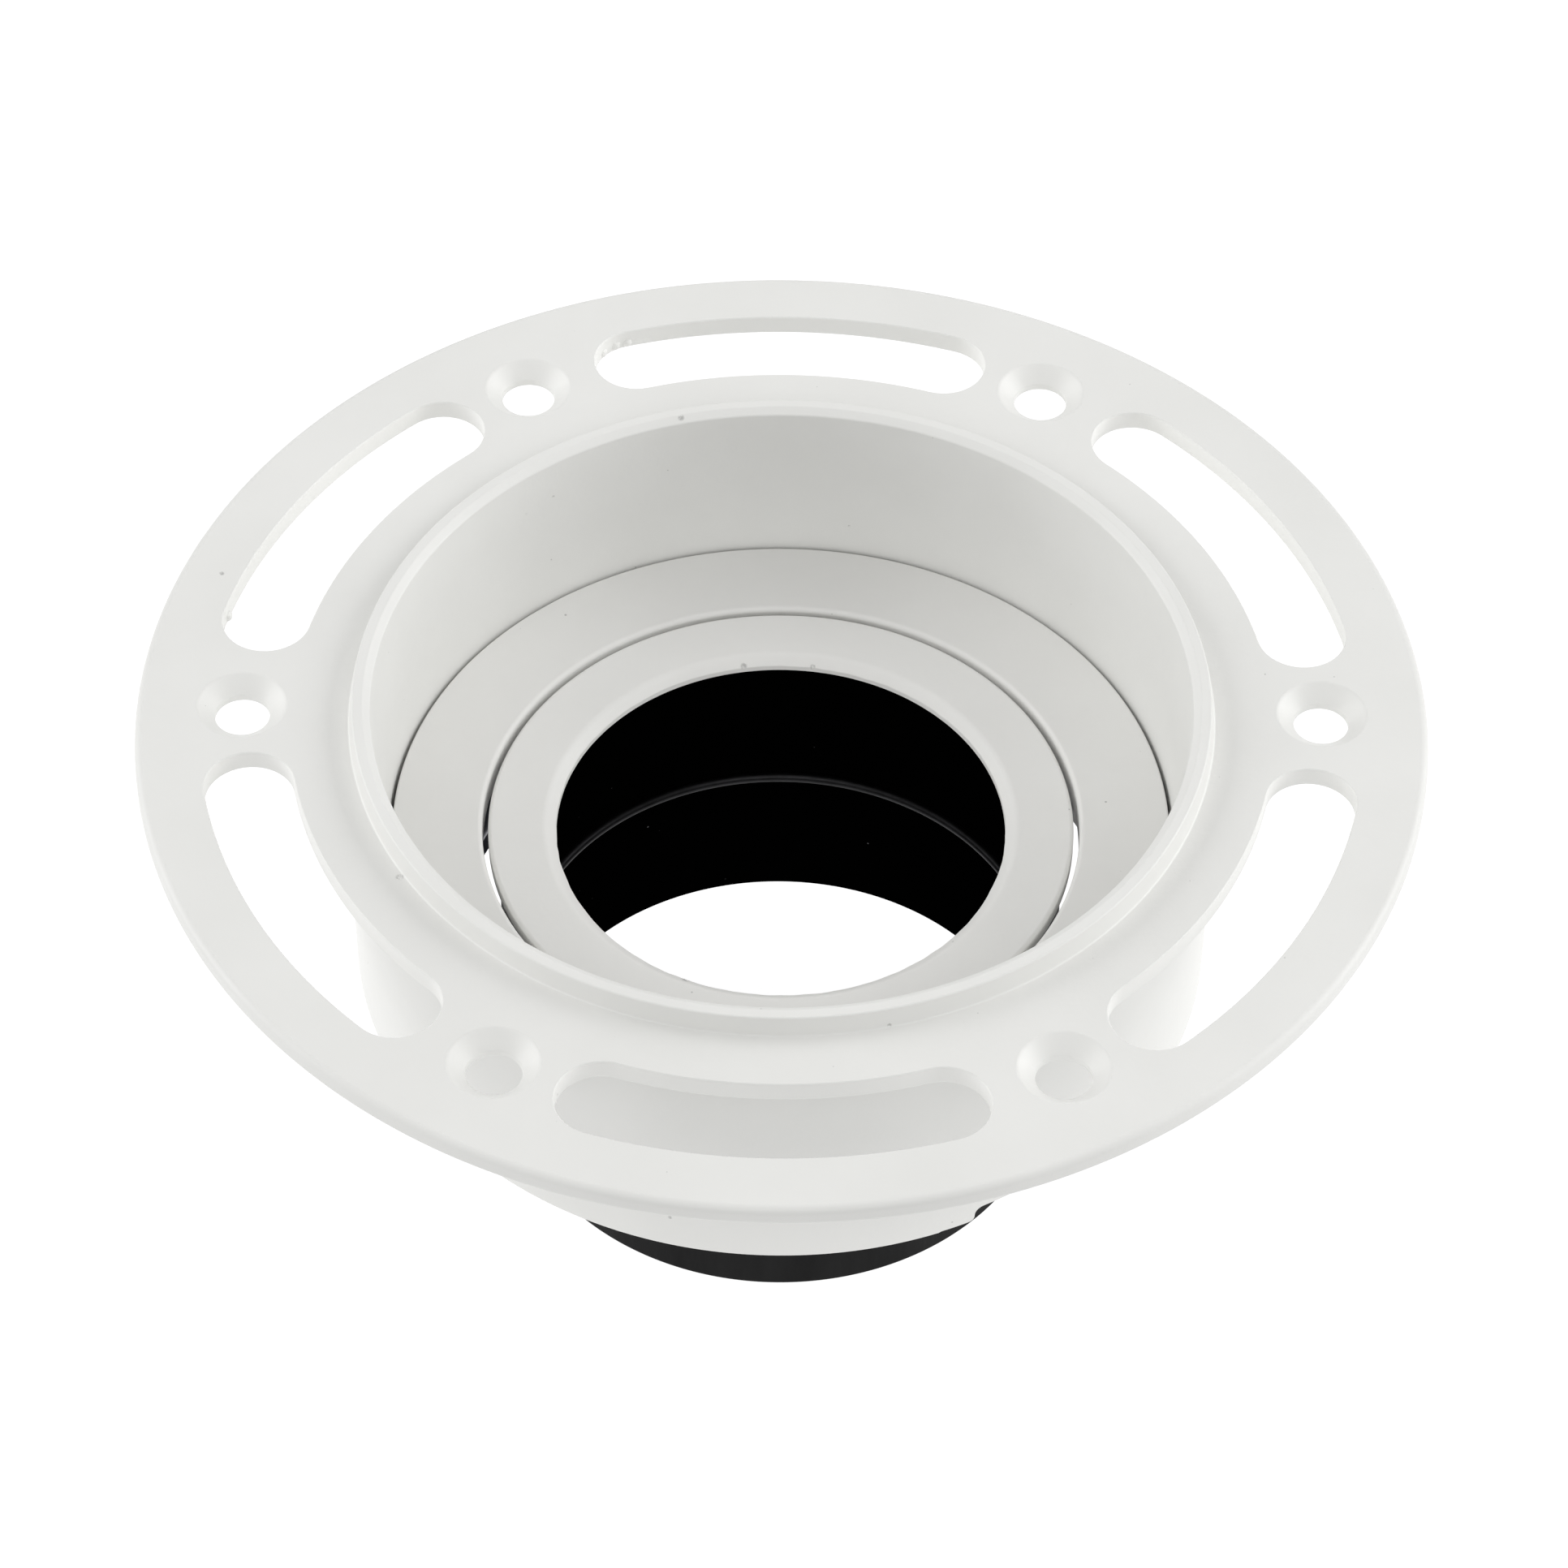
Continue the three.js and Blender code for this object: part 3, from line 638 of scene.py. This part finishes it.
def make_frame_casting():
    """The flange, the lip and the can in one casting, with its slots, holes, notch and earth boss."""
    profile = [
        (CAN_OUTER_TOP, 0, 0.8),
        (FLANGE_RADIUS, 0, 0.65),
        (FLANGE_RADIUS, FLANGE_THICKNESS, 0.75),
        (LIP_OUTER_BASE, FLANGE_THICKNESS, 0.2),
        (LIP_OUTER_TOP, LIP_TOP, 0.2),
        (LIP_INNER + LIP_BEVEL_WIDTH, LIP_TOP, 0.3),
        (LIP_INNER, LIP_TOP - LIP_BEVEL_DROP, 0.3),
        (CAN_INNER_MID, CAN_MID_Z, 2.0),
        (CAN_INNER_BOTTOM, CAN_BOTTOM + SHELF_THICKNESS, 0.3),
        (SHELF_INNER, CAN_BOTTOM + SHELF_THICKNESS, 0.25),
        (SHELF_INNER, CAN_BOTTOM, 0.25),
        (CAN_OUTER_BOTTOM, CAN_BOTTOM, 0.45),
    ]
    casting = turned("frame_casting_visual", fillet(profile, step=9))
    earth_place = at_polar(EARTH_RADIUS, EARTH_ANGLE)
    boss_low, boss_high = CAN_BOTTOM + 0.02, CAN_BOTTOM + EARTH_BOSS_HEIGHT
    combine(casting, [rod("earth_boss", EARTH_BOSS_RADIUS, boss_low, boss_high, earth_place)], "UNION")
    cutters = [slot_cutter(SLOT_FIRST + 60 * k) for k in range(6)]
    cutters += [screw_hole_cutter(60 * k) for k in range(6)]
    cutters.append(rim_notch_cutter())
    hole_low, hole_high = CAN_BOTTOM - THROUGH, CAN_BOTTOM + EARTH_DEPTH + GAP
    cutters.append(rod("earth_hole", EARTH_SHANK + GAP, hole_low, hole_high, earth_place))
    combine(casting, cutters, "DIFFERENCE")
    combine(casting, [paint_lump(*lump) for lump in PAINT_LUMPS], "UNION")
    place(casting, "frame", "frame_casting", FRAME_PAINT)


def make_earth_screw():
    """The slotted screw in the earth boss, its head below the can's rim."""
    turn = at_polar(EARTH_RADIUS, EARTH_ANGLE)
    slot_half_width, slot_depth = 0.45, 0.8
    head_top = CAN_BOTTOM - EARTH_WASHER_THICKNESS - 2 * GAP
    head_low = head_top - EARTH_HEAD_HEIGHT
    corners = [
        (0, head_low, 0),
        (EARTH_HEAD, head_low, 0.9),
        (EARTH_HEAD, head_top, 0.12),
        (EARTH_SHANK, head_top, 0.1),
        (EARTH_SHANK, CAN_BOTTOM + EARTH_DEPTH, 0.4),
        (0, CAN_BOTTOM + EARTH_DEPTH, 0),
    ]
    screw = turned("earth_screw_visual", fillet(corners), MEDIUM, turn)
    centre = turn.translation
    slot = block(
        "driver_slot",
        (centre.x - EARTH_HEAD - 1, centre.y - slot_half_width, head_low - 1),
        (centre.x + EARTH_HEAD + 1, centre.y + slot_half_width, head_low + slot_depth),
    )
    combine(screw, [slot], "DIFFERENCE")
    place(screw, "frame", "earth_screw", BRASS)


def make_earth_washer():
    """The washer under the earth screw's head, with twisted teeth round its outside."""
    turn = at_polar(EARTH_RADIUS, EARTH_ANGLE)
    teeth, per_tooth, tooth_depth, twist, inset = 12, 6, 0.45, 0.1, 0.12
    count = teeth * per_tooth
    top = CAN_BOTTOM - GAP
    loops = []
    for inner, side in ((False, 0), (False, 1), (True, 1), (True, 0)):
        loop = []
        for k in range(count):
            angle = 2 * math.pi * k / count
            tooth = 1 if k % per_tooth < per_tooth / 2 else 0
            radius = EARTH_WASHER_INNER if inner else EARTH_WASHER_OUTER - tooth_depth * (1 - tooth)
            lift = 0 if inner else twist * math.sin(2 * math.pi * k / per_tooth)
            height = inset + side * (EARTH_WASHER_THICKNESS - 2 * inset) + lift
            z = top - EARTH_WASHER_THICKNESS + height
            loop.append(turn @ Vector((radius * math.cos(angle), radius * math.sin(angle), z)))
        loops.append(loop)
    washer = loft("earth_washer_visual", loops, closed_along=True, capped=False)
    place(washer, "frame", "earth_washer", ZINC)


# ---- Carrier ring and what is on it -----------------------------------------------------------
def make_carrier_ring():
    """The outer ring in the can, with a skirt and a boss for each pivot screw."""
    profile = [
        (CARRIER_INNER, PLATE_BOTTOM, 0.3),
        (SKIRT_INNER, PLATE_BOTTOM, 0.5),
        (SKIRT_INNER, SKIRT_BOTTOM, 0.3),
        (SKIRT_OUTER, SKIRT_BOTTOM, 0.3),
        (CARRIER_OUTER, PLATE_BOTTOM, 0.0),
        (CARRIER_OUTER, CARRIER_TOP, 0.22),
        (CARRIER_INNER, CARRIER_TOP, 0.5),
    ]
    ring = turned("carrier_ring_visual", fillet(profile, step=9))
    bosses, holes = [], []
    for side in (1, -1):
        y_values = sorted((side * BOSS_INNER, side * (SKIRT_INNER + 0.5)))
        bosses.append(block(
            f"pivot_boss_{side}",
            (-BOSS_HALF_WIDTH, y_values[0], BOSS_BOTTOM),
            (BOSS_HALF_WIDTH, y_values[1], PLATE_BOTTOM + 0.5),
            edge=0.3,
        ))
        turn = along_y(side)
        screw_radius = SCREW_BODY + HOLE_FIT
        holes.append(rod("screw_hole", screw_radius, RECESS_END - 0.5, CARRIER_OUTER + 1, turn, MEDIUM))
        holes.append(rod("recess", RECESS_RADIUS, BOSS_INNER - 2, RECESS_END, turn, MEDIUM))
    combine(ring, bosses, "UNION")
    low, high = PLATE_BOTTOM - THROUGH, PLATE_BOTTOM + RIVET_DEPTH + GAP
    for rivet_place in rivet_places():
        holes.append(rod("rivet_hole", RIVET_SHANK + GAP, low, high, rivet_place))
    for hole in holes:
        combine(ring, [hole], "DIFFERENCE")
    place(ring, "carrier", "carrier_ring", CARRIER_PAINT)


def rivet_places():
    """Where the spring rivets stand, in the order of their nodes."""
    places = []
    for angle in SPRING_ANGLES:
        for side in (-1, 1):
            turn = math.degrees(math.atan2(side * RIVET_OFFSET, RIVET_RADIUS))
            places.append(at_polar(math.hypot(RIVET_OFFSET, RIVET_RADIUS), angle + turn))
    return places


def catmull_rom(points, samples):
    """A smooth curve through the points, as in the CAD model."""
    curve = []
    last = len(points) - 1
    for step in range(samples + 1):
        position = step / samples * last
        index = min(int(position), last - 1)
        t = position - index
        a, b, c, d = (points[min(max(index + k, 0), last)] for k in (-1, 0, 1, 2))
        square, cube = 2 * a - 5 * b + 4 * c - d, 3 * b - a - 3 * c + d
        curve.append(0.5 * (2 * b + (c - a) * t + square * t * t + cube * t ** 3))
    return curve


def spring_line():
    """Centre line of a spring as (radius, z): foot, leg, neck inside the shelf and snap bulge below it."""
    foot = PLATE_BOTTOM - GAP - SPRING_THICKNESS / 2
    neck = SHELF_INNER - 0.75
    shelf_top = CAN_BOTTOM + SHELF_THICKNESS
    leg = [
        (33.4, foot),
        (34.1, foot - 0.6),
        (34.25, foot - 3.2),
        (33.4, foot - 6.4),
        (neck + 0.15, shelf_top + 0.2),
        (neck, CAN_BOTTOM + 0.3),
        (neck + 1.35, CAN_BOTTOM - 1.4),
        (neck + 0.55, CAN_BOTTOM - 3.4),
    ]
    flat = [Vector((radius, foot)) for radius in (29.4, 30.4, 31.4, 32.4)]
    return flat + catmull_rom([Vector(point) for point in leg], 56)


def make_springs():
    """The four spring strips that hold the carrier ring down on the can's shelf."""
    line = spring_line()
    half_width, half_thickness = SPRING_WIDTH / 2, SPRING_THICKNESS / 2
    edge = 0.12
    section = fillet([
        (-half_width, -half_thickness, edge),
        (half_width, -half_thickness, edge),
        (half_width, half_thickness, edge),
        (-half_width, half_thickness, edge),
    ], step=30)
    for number, angle in enumerate(SPRING_ANGLES, 1):
        turn = Matrix.Rotation(math.radians(angle), 4, "Z")
        loops = []
        for index, here in enumerate(line):
            before, after = line[max(index - 1, 0)], line[min(index + 1, len(line) - 1)]
            along = (after - before).normalized()
            normal = Vector((-along.y, along.x))
            loop = []
            for across, out in section:
                spot = here + normal * out
                loop.append(turn @ Vector((spot.x, across, spot.y)))
            loops.append(loop)
        spring = loft(f"retaining_spring_{number}_visual", loops)
        own_places = rivet_places()[2 * (number - 1):2 * number]
        cutters = [
            rod("strip_hole", RIVET_SHANK + GAP, PLATE_BOTTOM - 1.5, PLATE_BOTTOM + 1.5, turn_to)
            for turn_to in own_places
        ]
        combine(spring, cutters, "DIFFERENCE")
        place(spring, "carrier", f"retaining_spring_{number}", SPRING_STEEL)


def make_rivets():
    """Two domed rivets through the foot of each spring."""
    head_top = PLATE_BOTTOM - 2 * GAP - SPRING_THICKNESS
    corners = [
        (0, head_top - RIVET_HEIGHT, 0),
        (RIVET_HEAD * 0.75, head_top - RIVET_HEIGHT, 0.35),
        (RIVET_HEAD, head_top - RIVET_HEIGHT * 0.3, 0.12),
        (RIVET_HEAD, head_top, 0.06),
        (RIVET_SHANK, head_top, 0.05),
        (RIVET_SHANK, PLATE_BOTTOM + RIVET_DEPTH, 0.15),
        (0, PLATE_BOTTOM + RIVET_DEPTH, 0),
    ]
    for number, turn in enumerate(rivet_places(), 1):
        rivet = turned(f"spring_rivet_{number}_visual", fillet(corners, step=18), SMALL, turn)
        place(rivet, "carrier", f"spring_rivet_{number}", RIVET_METAL)


def make_pivot_screw(side, label):
    """A threaded set screw with a plain dog point inward and a hexagon socket outward."""
    pitch, depth, socket_radius, socket_depth = 0.5, 0.16, 0.875, 1.8
    turn = along_y(side)
    corners = [(0, SCREW_TIP, 0), (SCREW_DOG, SCREW_TIP, 0.2), (SCREW_DOG, SCREW_SHOULDER, 0.08)]
    corners.append((SCREW_BODY - depth, SCREW_SHOULDER + 0.25, 0))
    z = SCREW_SHOULDER + 0.5
    while z < SCREW_OUTER_END - 0.6:
        corners.append((SCREW_BODY, z, 0))
        corners.append((SCREW_BODY - depth, z + pitch / 2, 0))
        z += pitch
    corners.append((SCREW_BODY, SCREW_OUTER_END - 0.45, 0))
    corners.append((SCREW_BODY - 0.1, SCREW_OUTER_END, 0.25))
    corners.append((0, SCREW_OUTER_END, 0))
    screw = turned(f"pivot_screw_{label}_visual", fillet(corners), SMALL, turn)
    low, high = SCREW_OUTER_END - socket_depth, SCREW_OUTER_END + 1
    combine(screw, [rod("hex_socket", socket_radius, low, high, turn, segments=6)], "DIFFERENCE")
    place(screw, "carrier", f"pivot_screw_{label}", ZINC)


def make_friction_washer(side, label):
    """A nylon washer on the screw's dog point, which holds the tilt by friction."""
    section = fillet([
        (WASHER_INNER, WASHER_FROM, 0.1),
        (WASHER_OUTER, WASHER_FROM, 0.15),
        (WASHER_OUTER, WASHER_TO, 0.15),
        (WASHER_INNER, WASHER_TO, 0.1),
    ], step=20)
    washer = turned(f"friction_washer_{label}_visual", section, MEDIUM, along_y(side))
    place(washer, "carrier", f"friction_washer_{label}", NYLON)


# ---- Lamp head --------------------------------------------------------------------------------
def make_tilt_ring():
    """The inner ring with the light opening, its spigot in the tube and its two pivot ears."""
    profile = [
        (OPENING_RADIUS, TILT_TOP - 1.3, 0.1),
        (OPENING_RADIUS + 0.8, TILT_FLANGE_BOTTOM, 0.1),
        (SPIGOT_INNER, TILT_FLANGE_BOTTOM, 0.2),
        (SPIGOT_INNER, SPIGOT_BOTTOM, 0.15),
        (SPIGOT_OUTER, SPIGOT_BOTTOM, 0.15),
        (SPIGOT_OUTER, TILT_FLANGE_BOTTOM, 0.1),
        (TILT_OUTER, TILT_FLANGE_BOTTOM, 0.2),
        (TILT_OUTER, TILT_TOP, 0.42),
        (OPENING_RADIUS + 1.0, TILT_TOP, 1.2),
        (OPENING_RADIUS, TILT_TOP - 0.75, 0.15),
    ]
    ring = turned("tilt_ring_visual", fillet(profile, step=8))
    roughen(ring, (OPENING_RADIUS, TILT_TOP - 0.9, 0.45), 0.09, 0.9)
    ears, holes = [], []
    for side in (1, -1):
        y_values = sorted((side * (TUBE_INNER + 0.5), side * EAR_OUTER))
        ears.append(block(
            f"pivot_ear_{side}",
            (-EAR_HALF_WIDTH, y_values[0], EAR_BOTTOM),
            (EAR_HALF_WIDTH, y_values[1], EAR_TOP),
            edge=0.2,
        ))
        dog_radius = SCREW_DOG + HOLE_FIT
        holes.append(rod("ear_hole", dog_radius, TUBE_INNER - 1, EAR_OUTER + 1, along_y(side), MEDIUM))
    combine(ring, ears, "UNION")
    seat_path = [
        Vector((SPIGOT_OUTER, EAR_BOTTOM - THROUGH)),
        Vector((TUBE_OUTER + 0.25, EAR_BOTTOM - THROUGH)),
        Vector((TUBE_OUTER + 0.25, TILT_FLANGE_BOTTOM)),
        Vector((SPIGOT_OUTER, TILT_FLANGE_BOTTOM)),
    ]
    combine(ring, [turned("tube_seat", seat_path, FINE)], "DIFFERENCE")
    combine(ring, holes, "DIFFERENCE")
    place(ring, "lamp_head", "tilt_ring", TILT_PAINT)


def make_lamp_tube():
    """The black tube, open at the bottom, with a groove inside for the retaining ring."""
    groove_low, groove_high = GROOVE_Z - GROOVE_HEIGHT / 2, GROOVE_Z + GROOVE_HEIGHT / 2
    profile = [
        (TUBE_INNER, TUBE_BOTTOM, 0.3),
        (TUBE_OUTER, TUBE_BOTTOM, 0.35),
        (TUBE_OUTER, TUBE_TOP, 0.15),
        (TUBE_INNER, TUBE_TOP, 0.15),
        (TUBE_INNER, groove_high, 0.06),
        (TUBE_INNER + GROOVE_DEPTH, groove_high, 0.1),
        (TUBE_INNER + GROOVE_DEPTH, groove_low, 0.1),
        (TUBE_INNER, groove_low, 0.06),
    ]
    tube = turned("lamp_tube_visual", fillet(profile, step=12))
    holes = [
        rod(f"tube_hole_{side}", SCREW_DOG + HOLE_FIT, TUBE_INNER - 1, TUBE_OUTER + 1, along_y(side), MEDIUM)
        for side in (1, -1)
    ]
    combine(tube, holes, "DIFFERENCE")
    place(tube, "lamp_head", "lamp_tube", TUBE_PAINT)
    # The faces inside the bore take the near-black material: painted shade that darkens the tube's inside.
    tube.data.materials.append(BORE_PAINTED_SHADE)
    bore_limit = (TUBE_INNER + GROOVE_DEPTH + 0.1) * MM
    for face in tube.data.polygons:
        face.material_index = int(math.hypot(face.center.x, face.center.y) < bore_limit)


def make_retaining_ring():
    """The open wire ring in the tube's groove, its ends rounded over the last few steps."""
    radius = TUBE_INNER + GROOVE_DEPTH - WIRE_RADIUS - GAP
    steps, end_steps, around = 180, 4, 16
    loops = []
    for step in range(-end_steps, steps + end_steps + 1):
        inside = min(max(step, 0), steps)
        over = abs(step - inside) / end_steps
        size = WIRE_RADIUS * math.sqrt(max(0.02, 1 - over * over))
        angle = math.radians(-90 + WIRE_OPENING / 2 + inside * (360 - WIRE_OPENING) / steps)
        angle += math.copysign(over * WIRE_RADIUS / radius, step - steps / 2)
        outward = Vector((math.cos(angle), math.sin(angle), 0))
        loop = []
        for k in range(around):
            turn = 2 * math.pi * k / around
            height = Vector((0, 0, GROOVE_Z + size * math.sin(turn)))
            loop.append(outward * (radius - size * math.cos(turn)) + height)
        loops.append(loop)
    wire = loft("lamp_retaining_ring_visual", loops)
    place(wire, "lamp_head", "lamp_retaining_ring", BLACK_WIRE)


make_frame_casting()
make_earth_screw()
make_earth_washer()
make_carrier_ring()
make_springs()
make_rivets()
for pivot_side, pivot_label in PIVOTS:
    make_pivot_screw(pivot_side, pivot_label)
    make_friction_washer(pivot_side, pivot_label)
make_tilt_ring()
make_lamp_tube()
make_retaining_ring()


# ---- Floor, light and camera ------------------------------------------------------------------
def make_floor():
    """A pale floor with a round light table in it, so that the part stands on plain white."""
    bm = bmesh.new()
    bmesh.ops.create_grid(bm, x_segments=1, y_segments=1, size=FLOOR_HALF_SIZE)
    bmesh.ops.translate(bm, vec=(0, 0, FLOOR_Z), verts=bm.verts)
    floor = make_object("floor", bm)
    material, nodes, links, shader = new_material("pale_floor")
    coordinate = nodes.new("ShaderNodeTexCoord").outputs["Object"]
    distance = distance_from(nodes, links, coordinate, TABLE_CENTRE)
    glow = remap(nodes, links, distance, TABLE_RADIUS, TABLE_FADE, TABLE_GLOW, FLOOR_GLOW)
    links.new(glow, shader.inputs["Emission Strength"])
    shader.inputs["Emission Color"].default_value = (1, 1, 1, 1)
    shader.inputs["Base Color"].default_value = (FLOOR_GREY, FLOOR_GREY, FLOOR_GREY, 1)
    shader.inputs["Roughness"].default_value = 0.9
    shader.inputs["Specular IOR Level"].default_value = 0.0
    floor.data.materials.append(material)


def make_softbox(name, direction, power):
    """A square light in that direction from the part, aimed at it."""
    data = bpy.data.lights.new(name, "AREA")
    data.shape = "SQUARE"
    data.size = SOFTBOX_SIZE
    data.energy = power
    light = bpy.data.objects.new(name, data)
    light.location = Vector(direction).normalized() * SOFTBOX_DISTANCE
    light.rotation_euler = (-light.location).to_track_quat("-Z", "Y").to_euler()
    bpy.context.collection.objects.link(light)


def make_lights():
    """A bright tent: even light all round, a low softbox on each side and a weak one in front."""
    world = bpy.data.worlds.new("studio")
    world.use_nodes = True
    background = world.node_tree.nodes["Background"]
    background.inputs["Color"].default_value = (1, 1, 1, 1)
    background.inputs["Strength"].default_value = SKY_GLOW
    bpy.context.scene.world = world
    for softbox in SOFTBOXES:
        make_softbox(*softbox)


def make_camera():
    """A long lens from the front, 46 degrees above the flange."""
    data = bpy.data.cameras.new("camera")
    data.sensor_width = SENSOR_WIDTH
    data.lens = FOCAL_LENGTH
    data.clip_start = NEAR_CLIP
    camera = bpy.data.objects.new("camera", data)
    backward = -Vector(CAMERA_FORWARD)
    rotation = Matrix((Vector(CAMERA_RIGHT), Vector(CAMERA_UP), backward)).transposed()
    camera.matrix_world = Matrix.Translation(CAMERA_PLACE) @ rotation.to_4x4()
    bpy.context.collection.objects.link(camera)
    bpy.context.scene.camera = camera


make_floor()
make_lights()
make_camera()
bpy.context.scene.view_settings.view_transform = "Standard"
